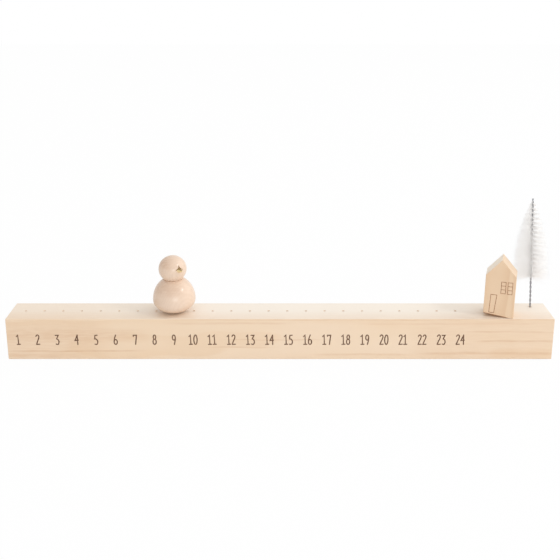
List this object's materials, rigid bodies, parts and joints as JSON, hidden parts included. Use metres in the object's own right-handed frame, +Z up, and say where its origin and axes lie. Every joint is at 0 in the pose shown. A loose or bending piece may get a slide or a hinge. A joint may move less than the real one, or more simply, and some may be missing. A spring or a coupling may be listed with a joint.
{
  "type": "advent calendar",
  "caption": "Long wooden beam with a row of day numbers and peg holes, a pegged ball snowman marker, a small gabled house and a twisted wire brush tree.",
  "frame": {"origin": "middle of the beam's underside", "axes": "+X along the beam from day 1 to day 24, +Y away from the numbered side, +Z up"},
  "size_m": [0.5022, 0.049, 0.1456],
  "materials": {
    "beam_pine": "bare planed pine, matt, long straight grain along the beam",
    "figure_beech": "fine turned beech, satin",
    "house_pine": "bare sanded wood, matt, grain upright",
    "peg_steel": "drawn steel",
    "tree_wire": "galvanised wire, dull grey",
    "nose_brass": "polished brass",
    "tree_bristle": "fine white nylon filament"
  },
  "bodies": {
    "beam": {"beam": "beam_pine"},
    "snowman_peg": {"snowman_peg": "peg_steel"},
    "snowman": {"snowman_body": "figure_beech", "snowman_neck_dowel": "figure_beech", "snowman_head": "figure_beech", "snowman_nose": "nose_brass"},
    "house_peg": {"house_peg": "peg_steel"},
    "house": {"house_block": "house_pine"},
    "tree": {"tree_wire_a": "tree_wire", "tree_wire_b": "tree_wire", "tree_bristles_1": "tree_bristle", "tree_bristles_2": "tree_bristle", "tree_bristles_3": "tree_bristle", "tree_bristles_4": "tree_bristle"}
  },
  "joints": [
    {"name": "snowman_lift", "type": "slide", "parent": "beam", "child": "snowman_peg", "axis": [-0.0262, 0, 0.9997], "range_m": [0, 0.02]},
    {"name": "snowman_turn", "type": "hinge", "parent": "snowman_peg", "child": "snowman", "pos_m": [-0.0974, 0, 0.04], "axis": [-0.0262, 0, 0.9997], "continuous": true},
    {"name": "house_lift", "type": "slide", "parent": "beam", "child": "house_peg", "axis": [0.0105, 0, 0.9999], "range_m": [0, 0.02]},
    {"name": "house_turn", "type": "hinge", "parent": "house_peg", "child": "house", "pos_m": [0.2016, -0.0065, 0.04], "axis": [0.0105, 0, 0.9999], "continuous": true},
    {"name": "tree_lift", "type": "slide", "parent": "beam", "child": "tree", "axis": [-0.0523, 0, 0.9986], "range_m": [0, 0.02]}
  ]
}
